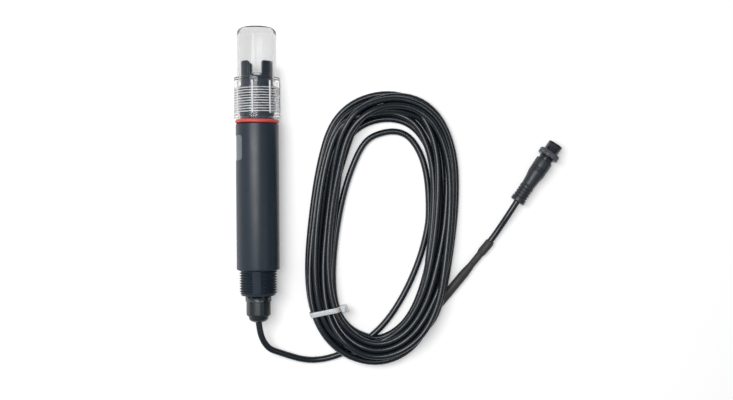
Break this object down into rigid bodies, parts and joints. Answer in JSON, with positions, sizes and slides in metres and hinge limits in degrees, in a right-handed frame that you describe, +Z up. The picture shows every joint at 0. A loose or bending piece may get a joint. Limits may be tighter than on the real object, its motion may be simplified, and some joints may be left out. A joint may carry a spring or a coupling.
{
  "type": "water quality sensor",
  "caption": "Tubular electrode probe with a pipe thread at each end, a slotted guard round a glass bulb, a clear screw cap, and a coiled cable that ends in a small round plug.",
  "frame": {"origin": "on the table under the middle of the sensor's length, below its axis", "axes": "+Y along the sensor's axis towards the cap, +Z up from the table, +X to the side where the cable lies"},
  "size_m": [0.2315, 0.2385, 0.033],
  "materials": {
    "housing_plastic": "satin dark slate moulding",
    "clear_plastic": "clear, glossy, slightly hazy",
    "measuring_glass": "clear blown glass",
    "red_silicone": "soft satin red",
    "black_rubber": "matt",
    "porous_ptfe": "matt white",
    "silver": "bare silver wire",
    "steel": "drawn steel",
    "circuit_board": "green laminate",
    "chip_black": "matt",
    "gland_plastic": "glossy black moulding",
    "cable_jacket": "smooth glossy black",
    "white_nylon": "translucent white",
    "shrink_black": "matt black",
    "boot_black": "satin black moulding",
    "black_metal": "satin black metal",
    "gold_contact": "plated"
  },
  "bodies": {
    "sensor": {"housing": "housing_plastic", "electrode_guard": "housing_plastic", "glass_electrode": "measuring_glass", "stem_seal": "black_rubber", "reference_junction": "porous_ptfe", "stem_stopper": "black_rubber", "chamber_bung": "black_rubber", "silver_wire": "silver", "reference_wire": "silver", "temperature_probe": "steel", "preamp_board": "circuit_board", "board_chips": "chip_black", "red_seal_ring": "red_silicone", "end_plug": "housing_plastic", "end_plug_seal": "black_rubber", "gland_seal_ring": "black_rubber", "gland_body": "gland_plastic", "gland_grommet": "black_rubber", "gland_nut": "gland_plastic", "inner_cable": "cable_jacket", "cable_lead": "cable_jacket", "cable_coil": "cable_jacket", "cable_tie": "white_nylon", "shrink_sleeve": "shrink_black", "cable_tail": "cable_jacket", "connector_boot": "boot_black", "plug_shell": "black_metal", "pin_insert": "boot_black", "contact_pins": "gold_contact"},
    "cap": {"clear_cap": "clear_plastic"},
    "ring": {"coupling_ring": "black_metal"}
  },
  "joints": [
    {"name": "cap_draw_off", "type": "slide", "parent": "sensor", "child": "cap", "axis": [0, 1, 0], "range_m": [0, 0.08]},
    {"name": "coupling_turn", "type": "hinge", "parent": "sensor", "child": "ring", "pos_m": [0.20665, 0.01467, 0.0076], "axis": [0.5678, 0.8231, 0], "continuous": true}
  ]
}
